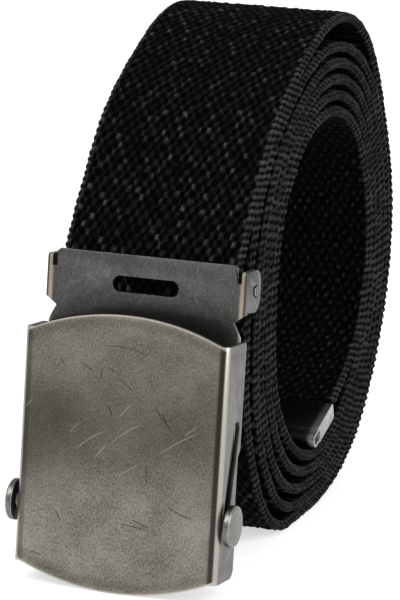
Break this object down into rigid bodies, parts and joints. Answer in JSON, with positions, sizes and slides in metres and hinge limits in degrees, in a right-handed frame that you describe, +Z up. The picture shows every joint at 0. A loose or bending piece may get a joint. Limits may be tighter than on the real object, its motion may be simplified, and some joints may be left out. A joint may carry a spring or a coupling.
{
  "type": "rolled canvas web belt with box buckle",
  "caption": "Woven canvas web belt rolled up and standing on its outer turn, with an antiqued box-frame slide buckle at its outer end and a folded metal tip.",
  "frame": {"origin": "on the surface that the belt stands on, under the middle of its bounding box", "axes": "+X across the web, to the right as the buckle is faced; -Y towards the buckle's side; +Z up"},
  "size_m": [0.048, 0.1272, 0.1078],
  "materials": {
    "web": "coarse woven cotton canvas, matt black",
    "antique_metal": "antiqued, scratched, dark patina in the bends",
    "bright_metal": "worn satin"
  },
  "bodies": {
    "belt": {"web": "web", "tip_ferrule": "bright_metal", "face_box": "antique_metal", "back_plate": "antique_metal", "clamp_jaw": "antique_metal"},
    "post": {"sliding_post": "bright_metal"}
  },
  "joints": [
    {"name": "post_slide", "type": "slide", "parent": "belt", "child": "post", "axis": [0, 0.2876, 0.9578], "range_m": [0, 0.0185]}
  ]
}
